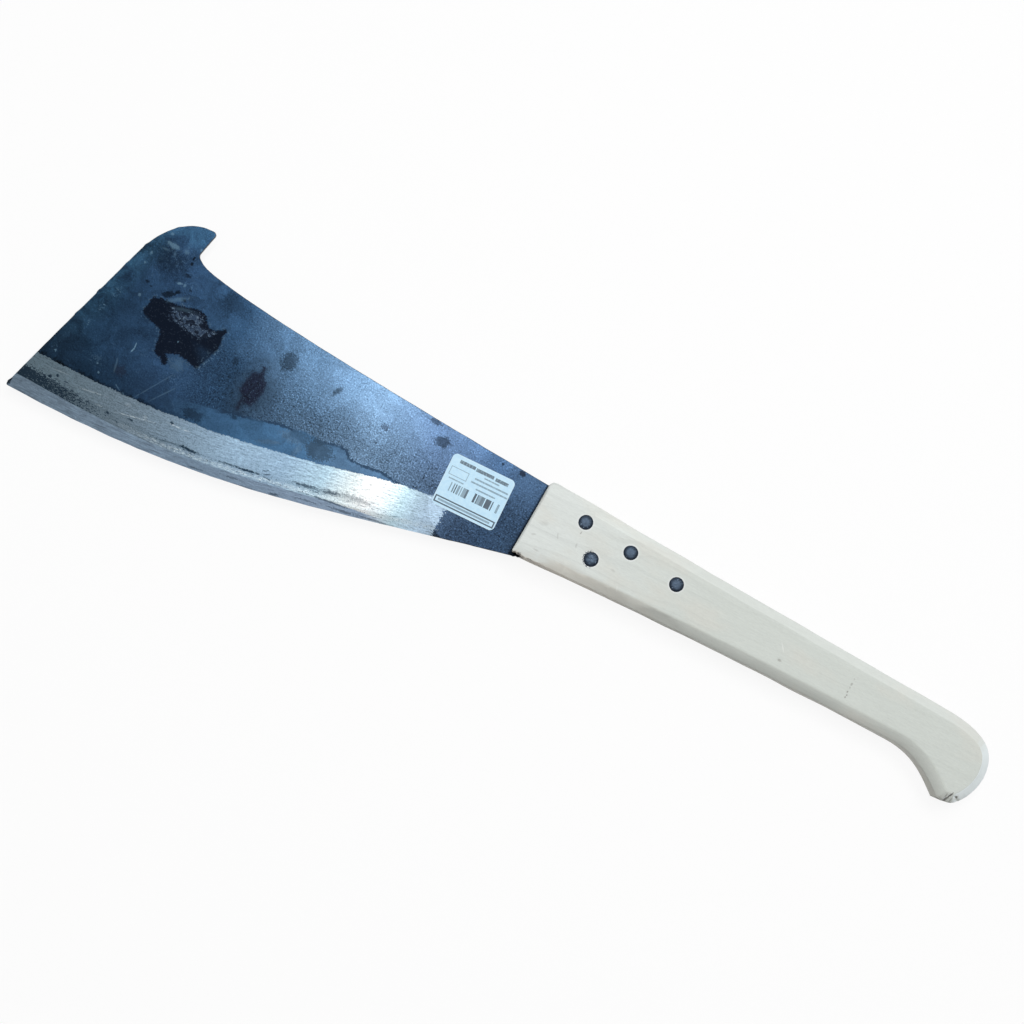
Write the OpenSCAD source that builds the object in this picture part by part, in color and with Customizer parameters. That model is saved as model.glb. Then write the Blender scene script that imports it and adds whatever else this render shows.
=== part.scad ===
// Cane machete: a plate blade with a hooked back, riveted into a one-piece wooden handle.
// Distances along the tool run from the handle's front face, minus towards the blade's toe
// and plus towards the butt. Heights in the plate's plane are above the handle's axis.

/* [Blade] */
// Length of the blade in front of the handle
blade_l = 302; // [260:1:340]
// Thickness of the blade's plate
blade_t = 2.5; // [1.6:0.1:4]
// How far the toe lies below the handle's axis
toe_drop = 75.7; // [66:0.1:86]
// Lean of the front edge, back from square to the axis
front_lean = 15.7; // [10:0.1:22]
// How far the edge lies below the axis where the blade meets the handle
heel_drop = 25.1; // [24.1:0.1:30]
// Slope of the cutting edge at the heel
heel_slope = 14; // [10:0.5:18]
// How far the heel's edge runs on under the handle before the wood hides it
heel_tail = 6; // [2:0.5:12]
// Height of the spine above the axis where the blade meets the handle
spine_rise = 21; // [19:0.2:23]

/* [Hook] */
// Height of the hook's crown above the handle's axis
crown_rise = 59; // [54:0.2:66]
// Height on the front edge at which the hook's crown starts to curve back
crown_start = 27; // [15:1:36]
// Distance of the beak's tip from the handle's front face
beak_reach = 238.2; // [216:0.2:244]
// Radius of the beak's tip
beak_r = 2; // [0.8:0.1:2.5]
// Depth of the throat below the crown
throat_depth = 18.8; // [12:0.1:22]
// How far the throat is cut in behind the beak's tip
throat_undercut = 2.6; // [1:0.2:6]

/* [Ground edge] */
// Width of the ground band along the cutting edge
grind_w = 24.9; // [14:0.1:28]
// Width of the finer bevel at the cutting edge itself
edge_w = 5.5; // [3:0.5:9]
// Width of the finer bevel at the toe, where it is broadest
edge_toe_w = 8.5; // [4:0.5:12]
// Length from the toe over which the finer bevel narrows
edge_narrow = 110; // [60:5:180]
// Thickness of the steel where the finer bevel starts
shoulder_t = 1.2; // [0.9:0.1:1.5]
// Thickness left at the cutting edge
edge_t = 0.4; // [0.2:0.1:0.8]
// Distance from the handle's front face to the heel end of the ground band
grind_stop = 42; // [30:1:70]
// Length over which the ground band runs out
grind_fade = 14; // [8:1:24]

/* [Tang] */
// How far the tang runs on behind the rearmost rivet
tang_past = 20; // [14:1:45]
// Width of the tang's rounded end
tang_end_w = 13.5; // [12:0.5:18]
// Height of the middle of the tang's end above the handle's axis
tang_end_rise = 4.3; // [3:0.2:7]
// Length of the tang that reaches down to the handle's lower edge
tang_flush_l = 35; // [20:1:50]
// How far the tang's lower edge stays inside the wood there
tang_inset = 0.2; // [0:0.1:1]

/* [Handle] */
// Length of the handle
handle_l = 299; // [270:1:340]
// Thickness of the handle
handle_t = 26; // [22:0.5:32]
// Height of the handle at its front face
front_h = 46.8; // [45:0.2:54]
// Height of the handle at the neck
neck_h = 31.4; // [27:0.2:37]
// Hollow of the handle's lower side, half way to the neck
waist = 1.7; // [0:0.1:4]
// Distance from the butt to the neck, where the knob begins
knob_l = 57; // [50:1:75]
// How far the knob's heel lies below the handle's axis
knob_drop = 32.4; // [28:0.2:40]
// Distance from the butt to the front corner of the knob's heel
knob_heel = 19; // [16:0.5:26]
// Length of the short flat under the knob
heel_flat = 6.5; // [6:0.5:10]
// Slope at which the neck runs into the knob's heel
neck_slope = 38.5; // [25:0.5:50]
// How far the rearmost point of the butt lies below the axis
butt_drop = 10; // [4:0.2:14]
// Length of the rounding between the handle's top and the butt
butt_round = 39; // [28:1:50]
// Radius of the upper corner at the front face
top_corner_r = 3.5; // [2:0.5:8]
// Radius of the lower corner at the front face
low_corner_r = 1.5; // [0.5:0.5:6]
// Width of the long chamfers
chamfer_w = 5.8; // [3:0.2:7]
// Depth of the long chamfers, down from the handle's flat sides
chamfer_d = 6; // [4:0.25:8]
// Depth of the chamfers where they start at the front face
chamfer_front_d = 1.5; // [1:0.1:4]
// Length over which the chamfers deepen
chamfer_run = 90; // [30:5:150]
// Width of the small chamfer round the front face
front_edge = 1; // [0.4:0.1:2]

/* [Kerf] */
// Gap between the tang and each wall of the saw kerf
kerf_gap = 0.05; // [0.02:0.01:0.2]
// Gap left in the kerf behind the tang's end
kerf_spare = 4; // [1:0.5:10]

/* [Rivets] */
// Distance of each rivet from the handle's front face, from the front one to the rear one
rivet_along = [28.7, 41.3, 59.5, 91]; // [24:0.1:96]
// Height of each rivet above the handle's axis, in the same order
rivet_rise = [11, -6.2, 7.9, 4.2]; // [-10:0.1:14]
// Diameter of the rivets' shanks
shank_d = 5; // [4:0.1:6]
// Diameter of the rivets' heads
head_d = 8.5; // [7:0.1:10]
// Depth of the countersink under each head
head_h = 1.8; // [1.2:0.1:3]
// Height of the straight rim around each head
rim_h = 0.5; // [0.2:0.1:0.8]
// Height of the shallow dome on the upper heads
dome_h = 0.3; // [0.1:0.05:0.6]
// Depth of the lower heads below the handle's underside
head_sink = 0.15; // [0.05:0.05:0.5]
// Gap around each rivet in its hole
rivet_gap = 0.05; // [0.02:0.01:0.1]

/* [Label] */
// Length of the paper label along the blade
label_l = 39.4; // [30:0.2:44]
// Width of the paper label across the blade
label_w = 32; // [24:0.5:34]
// Thickness of the paper
label_t = 0.15; // [0.1:0.05:0.3]
// Radius of the label's corners
label_r = 2.8; // [1:0.1:5]
// Gap between the handle's front face and the near end of the label
label_gap = 16.5; // [8:0.5:40]
// How far the middle of the label lies below the handle's axis
label_drop = 3; // [0:0.5:5]
// Turn of the label on the blade
label_turn = 2.3; // [-5:0.1:5]

/* [Hidden] */
$fn = 64;
front_x = -handle_l / 2;
mid_z = handle_t / 2;
neck_x = handle_l - knob_l;
tang_l = max(rivet_along) + tang_past;
through = 1;

// Reach of the curves' middle points, as shares of the lengths they shape
toe_pull = 0.43;
heel_pull = 0.395;
crown_pull = 0.57;
front_pull = 0.5;
neck_pull = 0.42;
butt_pull = 0.77;

// Shape of the spine, the throat's corner and the butt, in millimetres
spine_pull = 110;
spine_hump = 4.3;
spine_lift = [11.9, -7.4];
throat_corner = [4.4, -1];
throat_floor = [1.5, 1.1];
throat_wall = [-0.5, 1.2];
throat_top = [-0.1, 5];
toe_sag = 0.9;
heel_lift = 0.5;
heel_round = [5.5, 0.5];
butt_round_low = 9;
butt_round_high = 16;

// Curves and outlines are lists of points that run anticlockwise, seen from above.
function curve(p, n) = [for (i = [0:n - 1]) curve_point(p, i / n)];
function curve_point(p, u) =
    pow(1 - u, 3) * p[0] + 3 * u * pow(1 - u, 2) * p[1] + 3 * u * u * (1 - u) * p[2] + pow(u, 3) * p[3];
function arc(centre, r, from, to, n) =
    [for (i = [0:n]) let (a = from + (to - from) * i / n) centre + r * [cos(a), sin(a)]];
function unit(v) = v / norm(v);
function left_of(v) = unit([-v[1], v[0]]);
function ease(u) = let (c = max(0, min(1, u))) c * c * (3 - 2 * c);

// Each point moved inwards by its own distance, along the mitre of the two sides that meet there.
function inset(loop, by) = [
    for (i = [0:len(loop) - 1])
        let (
            before = loop[(i + len(loop) - 1) % len(loop)],
            after = loop[(i + 1) % len(loop)],
            side = left_of(loop[i] - before),
            mitre = unit(side + left_of(after - loop[i]))
        )
        loop[i] + mitre * by[i] / (mitre * side)
];

function at_height(loop, heights) = [for (i = [0:len(loop) - 1]) [loop[i][0], loop[i][1], heights[i]]];
function same(value, count) = [for (i = [1:count]) value];

// A solid through rings of the same number of points, cut flat between two heights.
// Its first and last rings lie outside them.
module flat_sided(rings, low, high) {
    intersection() {
        loft(rings);
        translate([-blade_l - handle_l, -blade_l, low])
            cube([2 * (blade_l + handle_l), 2 * blade_l, high - low]);
    }
}

module loft(rings) {
    n = len(rings[0]);
    top = (len(rings) - 1) * n;
    walls = [
        for (k = [0:len(rings) - 2], i = [0:n - 1])
            let (a = k * n, b = a + n, j = (i + 1) % n)
            each [[a + i, b + i, b + j], [a + i, b + j, a + j]]
    ];
    caps = [[for (i = [0:n - 1]) i], [for (i = [n - 1:-1:0]) top + i]];
    polyhedron(points = [for (ring = rings) each ring], faces = concat(walls, caps));
}

// Upper and lower side of the grip: a straight taper, and the same taper hollowed at the waist
function top_y(along) = front_h / 2 + (neck_h - front_h) / 2 * along / neck_x;
function low_y(along) = waist * sin(180 * along / neck_x) - top_y(along);

function chamfer_depth(along) =
    chamfer_front_d + (chamfer_d - chamfer_front_d) * ease(along / chamfer_run);

// Side view of the handle
fade_steps = [for (i = [1:6]) i * chamfer_run / 6];
waist_steps = [for (i = [1:7]) chamfer_run + i * (neck_x - chamfer_run) / 8];
low_line = [for (x = concat(fade_steps, waist_steps)) [x, low_y(x)]];
neck_start = [neck_x, low_y(neck_x)];
heel_front = [handle_l - knob_heel, -knob_drop];
heel_back = heel_front + [heel_flat, heel_lift];
neck_reach = (heel_front[0] - neck_start[0]) * neck_pull;
neck_line = curve([
    neck_start,
    neck_start + [neck_reach, 0],
    heel_front - neck_reach * [cos(neck_slope), -sin(neck_slope)],
    heel_front
], 12);
butt = [handle_l, -butt_drop];
butt_low = curve([heel_back, heel_back + heel_round, butt - [0, butt_round_low], butt], 8);
top_start = [handle_l - butt_round, top_y(handle_l - butt_round)];
butt_top = curve([
    butt,
    butt + [0, butt_round_high],
    top_start + [butt_round * butt_pull, 0],
    top_start
], 12);
top_line = [for (i = [len(fade_steps) - 1:-1:0]) [fade_steps[i], top_y(fade_steps[i])]];
sides = concat(low_line, neck_line, [heel_front], butt_low, butt_top, [top_start], top_line);
function low_corner(r, in_x, in_y) = arc([in_x + r, low_y(0) + in_y + r], r, 180, 268, 4);
function top_corner(r, in_x, in_y) = arc([in_x + r, top_y(0) - in_y - r], r, 92, 180, 4);
handle_line = concat(low_corner(low_corner_r, 0, 0), sides, top_corner(top_corner_r, 0, 0));

// The same side view at the inner edge of the chamfers, which are narrower round the front face
function chamfered(factor) =
    let (
        width = [for (f = factor) f * chamfer_w],
        inner = inset(handle_line, width),
        first = len(low_corner(1, 0, 0)),
        in_x = factor[0] * front_edge,
        in_y = factor[0] * chamfer_w
    )
    concat(
        low_corner(low_corner_r, in_x, in_y),
        [for (i = [first:first + len(sides) - 1]) inner[i]],
        top_corner(top_corner_r / 2, in_x, in_y)
    );

// Blade and tang
front_dir = [sin(front_lean), cos(front_lean)];
toe = [-blade_l, -toe_drop];
heel = [0, -heel_drop];
edge_curve = [
    toe,
    toe + [toe_pull * blade_l, -toe_sag],
    heel - heel_pull * blade_l * [cos(heel_slope), sin(heel_slope)],
    heel
];
edge_shares = concat([for (i = [0:11]) i / 16], [for (i = [0:12]) (36 + i) / 48]);
edge_line = [for (u = edge_shares) curve_point(edge_curve, u)];
tang_r = tang_end_w / 2;
tang_flush = [for (x = [heel_tail, tang_flush_l]) [x, tang_inset + low_y(x)]];
tang_end = arc([tang_l - tang_r, tang_end_rise], tang_r, -74, 84, 8);
throat = [-beak_reach - throat_undercut, crown_rise - throat_depth];
spine_end = throat + throat_corner;
spine_line = curve([
    [0, spine_rise],
    [-spine_pull, spine_rise + spine_hump],
    spine_end + spine_lift,
    spine_end
], 16);
throat_line = curve([
    spine_end,
    throat + throat_floor,
    throat + throat_wall,
    throat + throat_top
], 6);
beak = arc([-beak_reach - beak_r, crown_rise - beak_r], beak_r, -8, 82, 6);
crown_low = toe + front_dir * (toe_drop + crown_start) / front_dir[1];
crown_rest = crown_rise - crown_start;
crown_top = [-beak_reach - beak_r, crown_rise];
crown_line = curve([
    crown_top,
    crown_top - [crown_rest * crown_pull, 0],
    crown_low + front_dir * crown_rest * front_pull,
    crown_low
], 16);
blade_line = concat(edge_line, tang_flush, tang_end, spine_line, throat_line, beak, crown_line,
                    [crown_low]);

// The grind's share of its full width at each point of the outline: full along the edge,
// running out at its heel end, and none on the sides that are left square
function grind_share(along) = ease((-grind_stop - along) / grind_fade);
grind = [
    for (i = [0:len(blade_line) - 1])
        i < len(edge_line) ? grind_share(blade_line[i][0]) : 0
];

// Width of the finer bevel at each point of the outline
function edge_width(along) = edge_toe_w + (edge_w - edge_toe_w) * ease((along + blade_l) / edge_narrow);
edge_widths = [for (p = blade_line) edge_width(p[0])];

// The ground band runs out through the front edge, so the toe's point slides up along that edge
function ground(widths) =
    let (
        loop = inset(blade_line, [for (i = [0:len(blade_line) - 1]) grind[i] * widths[i]]),
        edge_side = left_of(blade_line[1] - toe),
        slid = toe + front_dir * widths[0] / (front_dir * edge_side)
    )
    [for (i = [0:len(loop) - 1]) i == 0 ? slid : loop[i]];

module blade() {
    // Half thickness and insets of each ring: the cutting edge, the shoulder above the finer bevel,
    // and the ground band carried on past the plate's flat side
    beyond = 1.2;
    n = len(blade_line);
    rows = [
        [edge_t / 2, same(0, n)],
        [shoulder_t / 2, edge_widths],
        [
            shoulder_t / 2 + (blade_t - shoulder_t) / 2 * beyond,
            [for (w = edge_widths) w + (grind_w - w) * beyond]
        ]
    ];
    under = [for (k = [2:-1:0]) at_height(ground(rows[k][1]), same(-rows[k][0], n))];
    over = [for (k = [0:2]) at_height(ground(rows[k][1]), same(rows[k][0], n))];
    color([0.27, 0.36, 0.46])
        translate([front_x, 0, mid_z])
            difference() {
                flat_sided(concat(under, over), -blade_t / 2, blade_t / 2);
                for (i = [0:len(rivet_along) - 1])
                    translate([rivet_along[i], rivet_rise[i], -blade_t / 2 - through])
                        cylinder(h = blade_t + 2 * through, d = shank_d + 2 * rivet_gap);
            }
}

module handle() {
    n = len(handle_line);
    depths = [for (p = handle_line) chamfer_depth(p[0])];
    past = 0.4;
    beyond = chamfered([for (d = depths) 1 + past / d]);
    color([0.86, 0.85, 0.79])
        translate([front_x, 0, 0])
            difference() {
                flat_sided([
                    at_height(beyond, same(-past, n)),
                    at_height(handle_line, depths),
                    at_height(handle_line, same(handle_t, n) - depths),
                    at_height(beyond, same(handle_t + past, n))
                ], 0, handle_t);
                kerf();
                for (i = [0:len(rivet_along) - 1])
                    translate([rivet_along[i], rivet_rise[i], 0])
                        rivet_hole();
            }
}

// The saw cut that takes the tang, open at the front face and along both edges
module kerf() {
    width = blade_t + 2 * kerf_gap;
    translate([-through, -front_h, mid_z - width / 2])
        cube([through + tang_l + kerf_spare, 2 * front_h, width]);
}

module rivet_hole() {
    shank_r = shank_d / 2 + rivet_gap;
    head_r = head_d / 2 + rivet_gap;
    cone_h = head_h - rim_h;
    low_z = head_sink + rim_h;
    high_z = handle_t - rim_h;
    translate([0, 0, -through])
        cylinder(h = handle_t + 2 * through, r = shank_r);
    translate([0, 0, -through])
        cylinder(h = through + low_z, r = head_r);
    translate([0, 0, low_z])
        cylinder(h = cone_h, r1 = head_r, r2 = shank_r);
    translate([0, 0, high_z - cone_h])
        cylinder(h = cone_h, r1 = shank_r, r2 = head_r);
    translate([0, 0, high_z])
        cylinder(h = rim_h + through, r = head_r);
}

// A countersunk rivet: flat lower head just below the wood, slightly domed upper head
module rivet(i) {
    head_r = head_d / 2;
    shank_r = shank_d / 2;
    dome_r = (head_r * head_r + dome_h * dome_h) / (2 * dome_h);
    dome = [
        for (k = [0:5])
            let (r = head_r * (1 - k / 5))
            [r, handle_t + dome_h - dome_r + sqrt(dome_r * dome_r - r * r)]
    ];
    profile = concat(
        [
            [0, head_sink],
            [head_r, head_sink],
            [head_r, head_sink + rim_h],
            [shank_r, head_sink + head_h],
            [shank_r, handle_t - head_h],
            [head_r, handle_t - rim_h]
        ],
        dome
    );
    color([0.24, 0.27, 0.31])
        translate([front_x + rivet_along[i], rivet_rise[i], 0])
            rotate_extrude()
                polygon(profile);
}

module rivet_front_upper() {
    rivet(0);
}

module rivet_front_lower() {
    rivet(1);
}

module rivet_middle() {
    rivet(2);
}

module rivet_rear() {
    rivet(3);
}

module label() {
    straight_l = label_l - 2 * label_r;
    straight_w = label_w - 2 * label_r;
    color([0.9, 0.93, 0.96])
        translate([front_x - label_gap - label_l / 2, -label_drop, mid_z + blade_t / 2])
            rotate([0, 0, label_turn])
                linear_extrude(label_t) {
                    square([label_l, straight_w], center = true);
                    square([straight_l, label_w], center = true);
                    for (x = [-straight_l / 2, straight_l / 2], y = [-straight_w / 2, straight_w / 2])
                        translate([x, y])
                            circle(label_r);
                }
}

blade();
handle();
rivet_front_upper();
rivet_front_lower();
rivet_middle();
rivet_rear();
label();
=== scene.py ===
import math

import bmesh
import bpy
from mathutils import Matrix, Vector, noise


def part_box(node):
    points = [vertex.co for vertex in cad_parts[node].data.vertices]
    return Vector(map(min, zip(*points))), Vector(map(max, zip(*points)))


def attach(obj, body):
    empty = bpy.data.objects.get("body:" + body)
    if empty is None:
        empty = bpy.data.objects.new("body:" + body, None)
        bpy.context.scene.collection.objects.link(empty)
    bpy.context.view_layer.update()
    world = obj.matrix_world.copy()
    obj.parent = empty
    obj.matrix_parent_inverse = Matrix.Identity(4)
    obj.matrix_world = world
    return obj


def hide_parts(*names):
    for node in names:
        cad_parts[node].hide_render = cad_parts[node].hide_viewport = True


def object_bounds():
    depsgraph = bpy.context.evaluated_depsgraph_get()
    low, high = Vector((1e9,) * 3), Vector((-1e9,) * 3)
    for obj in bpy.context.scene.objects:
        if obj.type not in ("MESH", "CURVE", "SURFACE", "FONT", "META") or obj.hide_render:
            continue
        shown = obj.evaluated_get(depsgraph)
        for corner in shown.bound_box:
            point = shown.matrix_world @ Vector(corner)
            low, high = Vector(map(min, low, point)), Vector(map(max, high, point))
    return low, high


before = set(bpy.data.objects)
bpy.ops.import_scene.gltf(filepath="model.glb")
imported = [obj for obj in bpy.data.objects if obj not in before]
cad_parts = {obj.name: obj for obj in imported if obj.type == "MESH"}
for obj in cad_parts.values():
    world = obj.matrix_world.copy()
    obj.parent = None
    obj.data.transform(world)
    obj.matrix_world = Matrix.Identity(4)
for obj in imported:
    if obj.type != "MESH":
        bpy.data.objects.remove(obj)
cadBox = [list(corner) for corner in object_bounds()]
mm = 0.001
weld = 0.001 * mm  # points closer than this are one
levelBend = 0.002  # faces that bend by less, in radians, are one
levelNormal = 0.9  # a face whose normal rises by more than this lies nearly level
wallNormal = 0.3  # and by less than this, it stands upright
noise.seed_set(7)  # noise_vector would otherwise change from run to run

# The camera stands about a metre above the plate. It leans five degrees towards the handle's
# lower side, and is turned so that the tool slants across the picture.
cameraSetup = {
    "aim": (-160.7, -2.6, 13.0),
    "distance": 1000.0,
    "lean": 5.0,
    "turn": 28.32,
    "pictureWidth": 591.0,  # what the frame takes in at the aim's distance
    "sensor": 36.0,
    "clip": (0.01, 20.0),  # metres
}


def makeCamera(setup):
    turn = math.radians(setup["turn"])
    lean = math.radians(setup["lean"])
    back = Vector((0.0, -math.sin(lean), math.cos(lean)))
    right = Vector((math.cos(turn), math.sin(turn), 0.0))
    up = back.cross(right).normalized()
    right = up.cross(back)
    data = bpy.data.cameras.new("viewCamera")
    data.sensor_width = setup["sensor"]
    data.lens = setup["sensor"] * setup["distance"] / setup["pictureWidth"]
    data.clip_start, data.clip_end = setup["clip"]
    camera = bpy.data.objects.new("viewCamera", data)
    bpy.context.scene.collection.objects.link(camera)
    axes = Matrix([[right[i], up[i], back[i]] for i in range(3)])
    place = (Vector(setup["aim"]) + back * setup["distance"]) * mm
    camera.matrix_world = Matrix.Translation(place) @ axes.to_4x4()
    bpy.context.scene.camera = camera


makeCamera(cameraSetup)
print("camera set")


class Wire:
    # A socket of a material, on which Python's operators add Math nodes

    def __init__(self, finish, socket):
        self.finish = finish
        self.socket = socket

    def calc(self, operation, *values):
        return self.finish.node("ShaderNodeMath", {"operation": operation}, dict(enumerate(values)))

    def __add__(self, other):
        return self.calc("ADD", self, other)

    def __radd__(self, other):
        return self.calc("ADD", other, self)

    def __sub__(self, other):
        return self.calc("SUBTRACT", self, other)

    def __rsub__(self, other):
        return self.calc("SUBTRACT", other, self)

    def __mul__(self, other):
        return self.calc("MULTIPLY", self, other)

    def __rmul__(self, other):
        return self.calc("MULTIPLY", other, self)

    def __truediv__(self, other):
        return self.calc("DIVIDE", self, other)

    def __rtruediv__(self, other):
        return self.calc("DIVIDE", other, self)

    def high(self, other):
        return self.calc("MAXIMUM", self, other)

    def low(self, other):
        return self.calc("MINIMUM", self, other)

    def size(self):
        return self.calc("ABSOLUTE", self)

    def floor(self):
        return self.calc("FLOOR", self)

    def fract(self):
        return self.calc("FRACT", self)


class Finish:
    # A material: node() makes any node, the rest are the few that come up again and again

    def __init__(self, name):
        self.material = bpy.data.materials.new(name)
        self.material.use_nodes = True
        self.tree = self.material.node_tree
        self.shader = self.tree.nodes["Principled BSDF"]

    def feed(self, socket, value):
        if isinstance(value, Wire):
            self.tree.links.new(value.socket, socket)
        elif socket.type == "RGBA" and len(value) == 3:
            socket.default_value = (*value, 1.0)
        else:
            socket.default_value = value

    def node(self, kind, settings, sockets, output=0):
        made = self.tree.nodes.new(kind)
        for key, value in settings.items():
            if key == "stops":
                ramp = made.color_ramp
                while len(ramp.elements) < len(value):
                    ramp.elements.new(1.0)
                for element, (place, colour) in zip(ramp.elements, value):
                    element.position = place
                    element.color = (*colour, 1.0)
            else:
                setattr(made, key, value)
        for key, value in sockets.items():
            self.feed(made.inputs[key], value)
        return Wire(self, made.outputs[output])

    def vector(self, operation, *values, output=0):
        return self.node(
            "ShaderNodeVectorMath", {"operation": operation}, dict(enumerate(values)), output
        )

    def point(self):  # where the shaded point is, in millimetres
        coord = self.node("ShaderNodeTexCoord", {}, {}, "Object")
        return self.vector("MULTIPLY", coord, (1.0 / mm, 1.0 / mm, 1.0 / mm))

    def axes(self, vector):
        split = self.node("ShaderNodeSeparateXYZ", {}, {0: vector})
        return [Wire(self, out) for out in split.socket.node.outputs]

    def join(self, x, y, z):
        return self.node("ShaderNodeCombineXYZ", {}, {0: x, 1: y, 2: z})

    def attribute(self, name, output="Fac"):
        return self.node("ShaderNodeAttribute", {"attribute_name": name}, {}, output)

    def noise(self, vector, scale, detail=2.0, roughness=0.5, distortion=0.0):
        sockets = {"Vector": vector, "Scale": scale, "Detail": detail}
        sockets.update({"Roughness": roughness, "Distortion": distortion})
        return self.node("ShaderNodeTexNoise", {}, sockets)

    def step(self, value, start, end, low=0.0, high=1.0):
        return self.node(
            "ShaderNodeMapRange",
            {"interpolation_type": "SMOOTHSTEP"},
            {0: value, 1: start, 2: end, 3: low, 4: high},
        )

    def blend(self, factor, first, second, clamp=True):
        return self.node(
            "ShaderNodeMix",
            {"data_type": "RGBA", "clamp_factor": clamp},
            {0: factor, 6: first, 7: second},
            2,
        )

    def shade(self, colour, value):  # a colour made darker, or lighter with a value above 1
        return self.blend(value, (0.0, 0.0, 0.0), colour, clamp=False)

    def ramp(self, value, stops):
        return self.node("ShaderNodeValToRGB", {"stops": stops}, {0: value})

    def blot(self, flat, wobble, across, up, wide, high, strength, turn=0.0, soft=0.5):
        # The strength inside an ellipse and 0 outside, with a rim of some softness
        if turn:
            centre = (across, up)
            right = Vector((math.cos(math.radians(turn)), math.sin(math.radians(turn)), 0.0))
            left = Vector((-right.y, right.x, 0.0))
            sides = [self.vector("DOT_PRODUCT", flat, v[:], output="Value") for v in (right, left)]
            flat = self.join(*sides, 0.0)
            across, up = right.xy.dot(centre), left.xy.dot(centre)
        shrink = (1.0 / wide, 1.0 / high, 0.0)
        local = self.vector("MULTIPLY_ADD", flat, shrink, (-across / wide, -up / high, 0.0))
        away = self.vector("LENGTH", local, output="Value") + wobble
        return self.step(away, 1.0 + soft, 1.0 - soft, 0.0, strength)

    def blots(self, flat, wobble, rows):  # the strongest of several
        total = None
        for row in rows:
            one = self.blot(flat, wobble, *row)
            total = one if total is None else total.high(one)
        return total

    def bump(self, height, depth, strength=1.0, under=None):
        sockets = {"Height": height, "Distance": depth * mm, "Strength": strength}
        if under:
            sockets["Normal"] = under
        return self.node("ShaderNodeBump", {}, sockets)

    def set(self, **sockets):
        for key, value in sockets.items():
            self.feed(self.shader.inputs[key.replace("_", " ")], value)
        return self.material


def copyNode(name):
    mesh = bmesh.new()
    mesh.from_mesh(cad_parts[name].data)
    bmesh.ops.remove_doubles(mesh, verts=mesh.verts, dist=weld)
    bmesh.ops.dissolve_limit(mesh, angle_limit=levelBend, verts=mesh.verts, edges=mesh.edges)
    mesh.normal_update()
    return mesh


def cutAcross(mesh, axis, start, end, size):
    # Cuts the whole mesh across one axis, a size apart
    count = max(1, round((end - start) / size))
    for i in range(1, count):
        place = start + (end - start) * i / count
        bmesh.ops.bisect_plane(
            mesh,
            geom=mesh.verts[:] + mesh.edges[:] + mesh.faces[:],
            dist=weld / 2.0,
            plane_co=Vector([place * mm if k == axis else 0.0 for k in range(3)]),
            plane_no=Vector([1.0 if k == axis else 0.0 for k in range(3)]),
        )


def spinProfile(profile, turns):
    # Turns a line of (distance, height), in millimetres, round the z axis
    mesh = bmesh.new()
    line = [mesh.verts.new((away * mm, 0.0, height * mm)) for away, height in profile]
    joined = [mesh.edges.new(pair) for pair in zip(line, line[1:])]
    bmesh.ops.spin(
        mesh, geom=line + joined, axis=(0, 0, 1), cent=(0, 0, 0), angle=2 * math.pi,
        steps=turns, use_merge=True,
    )
    bmesh.ops.remove_doubles(mesh, verts=mesh.verts, dist=weld)
    return mesh


def middleOf(node):
    # The middle of a node seen from above, in millimetres
    low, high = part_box(node)
    return tuple(round((low[i] + high[i]) / (2.0 * mm), 2) for i in range(2))


def fade(value, start, end):
    part = min(1.0, max(0.0, (value - start) / (end - start)))
    return part * part * (3.0 - 2.0 * part)


def bevelEdges(mesh, edges, offset, segments):
    bmesh.ops.bevel(
        mesh,
        geom=edges,
        offset=offset * mm,
        segments=segments,
        profile=0.5,
        affect="EDGES",
        material=-1,
        clamp_overlap=False,
    )


def shadeSmooth(mesh, limit, levelLimit):
    # Smooth shading that stops at edges over the limit, and at any slight bend between level faces
    mesh.normal_update()
    for f in mesh.faces:
        f.smooth = True
    for e in mesh.edges:
        if len(e.link_faces) == 2:
            level = min(abs(f.normal.z) for f in e.link_faces) > levelNormal
            e.smooth = math.degrees(e.calc_face_angle()) < (levelLimit if level else limit)


def storeFacing(mesh, limit):
    # Each corner keeps the way that the smoothed surface faces there, for its material
    facing = mesh.loops.layers.float_vector.new("facing")
    mesh.normal_update()
    least = math.cos(math.radians(limit))
    for f in mesh.faces:
        for corner in f.loops:
            near = [g.normal for g in corner.vert.link_faces if g.normal.dot(f.normal) > least]
            corner[facing] = sum(near, Vector()).normalized()


def finishPiece(mesh, name, material, slot, *nodes):
    data = bpy.data.meshes.new(name)
    mesh.to_mesh(data)
    mesh.free()
    if "custom_normal" in data.attributes:
        data.attributes.remove(data.attributes["custom_normal"])
    data.materials.clear()
    data.materials.append(material)
    piece = bpy.data.objects.new(name, data)
    bpy.context.scene.collection.objects.link(piece)
    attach(piece, "root")
    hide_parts(*nodes)
    print(name, "made:", len(data.polygons), "faces")


# The handle's front end is not quite square: it slants from the height of its upper corner
frontEnd = {"corner": 20.0, "slope": 0.031}

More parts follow.
